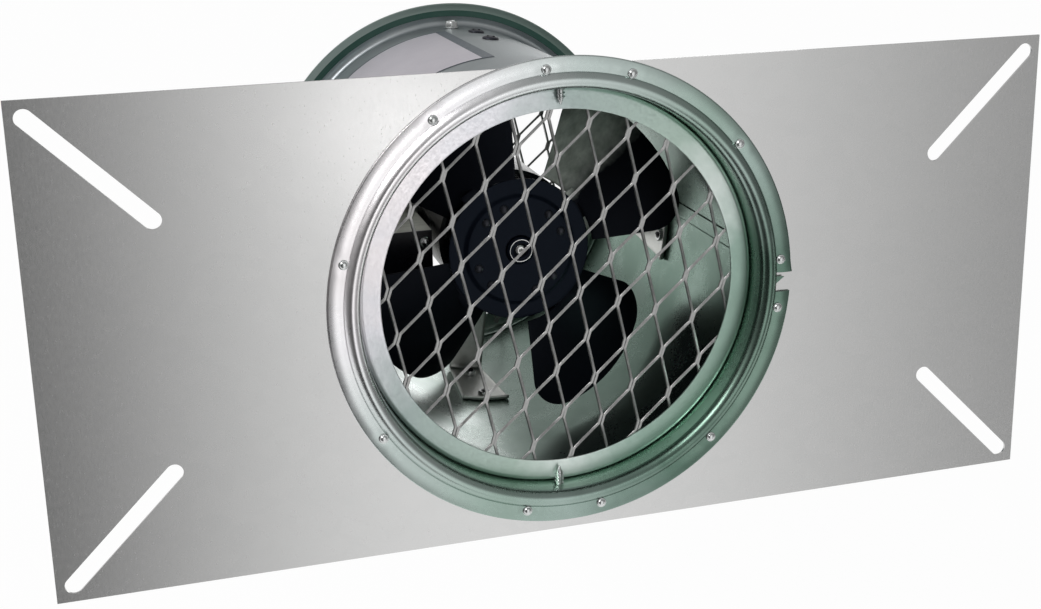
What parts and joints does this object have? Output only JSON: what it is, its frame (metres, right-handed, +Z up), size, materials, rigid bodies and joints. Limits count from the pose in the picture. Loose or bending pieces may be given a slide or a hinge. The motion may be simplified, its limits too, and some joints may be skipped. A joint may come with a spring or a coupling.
{
  "type": "crawl space vent fan",
  "caption": "Axial ventilation fan in a flanged round tube behind expanded metal grilles, on a rectangular galvanised wall plate with diagonal corner slots.",
  "frame": {"origin": "on the fan axis, in the plane of the wall plate's back face", "axes": "+X along the plate's length, to the right as seen from the front; +Y along the fan axis, away from the front grille and into the wall; +Z up"},
  "size_m": [0.544, 0.281, 0.2591],
  "materials": {
    "galvanised_sheet": "galvanised sheet with a faint spangle, satin",
    "galvanised_tube": "galvanised sheet, rolled and flanged, satin",
    "galvanised_ring": "bright galvanised sheet, satin",
    "expanded_steel": "galvanised expanded metal",
    "plated_steel": "zinc plated",
    "dark_steel": "black oxide",
    "leg_steel": "galvanised strip",
    "box_steel": "dull galvanised sheet, brushed",
    "motor_paint": "gloss black paint",
    "lamination": "stacked steel sheets",
    "magnet_wire": "lacquered copper wire",
    "bronze": "sintered bronze",
    "nylon": "natural nylon",
    "shaft_steel": "ground steel",
    "blade_paint": "satin black paint",
    "nameplate": "bare satin plate with a dark border",
    "rubber": "matt black rubber"
  },
  "bodies": {
    "casing": {"mounting_plate": "galvanised_sheet", "housing_tube": "galvanised_tube", "flange_rivets": "plated_steel", "nameplate": "nameplate", "cable_bushing": "rubber", "front_grille_ring": "galvanised_ring", "front_grille_mesh": "expanded_steel", "front_grille_screws": "plated_steel", "rear_grille_ring": "galvanised_ring", "rear_grille_mesh": "expanded_steel", "rear_grille_screws": "plated_steel", "motor_leg_upper": "leg_steel", "motor_leg_left": "leg_steel", "motor_leg_lower": "leg_steel", "motor_leg_right": "leg_steel", "leg_screws": "dark_steel", "leg_nuts": "plated_steel", "motor_shell": "motor_paint", "motor_front_bell": "motor_paint", "motor_rear_bell": "motor_paint", "stator_core": "lamination", "stator_coils": "magnet_wire", "motor_bolts": "plated_steel", "motor_nuts": "plated_steel", "front_bearing": "bronze", "rear_bearing": "bronze", "control_box": "box_steel", "control_box_cover": "motor_paint", "control_box_screws": "plated_steel", "control_box_rivets": "plated_steel"},
    "rotor": {"rotor_core": "lamination", "motor_shaft": "shaft_steel", "thrust_washers": "nylon", "hub_boss": "dark_steel", "hub_disc": "blade_paint", "hub_set_screw": "dark_steel", "blade_1": "blade_paint", "blade_2": "blade_paint", "blade_3": "blade_paint", "blade_4": "blade_paint", "blade_rivets": "dark_steel"}
  },
  "joints": [
    {"name": "impeller_spin", "type": "hinge", "parent": "casing", "child": "rotor", "pos_m": [0, 0.1, 0], "axis": [0, 1, 0], "continuous": true}
  ]
}
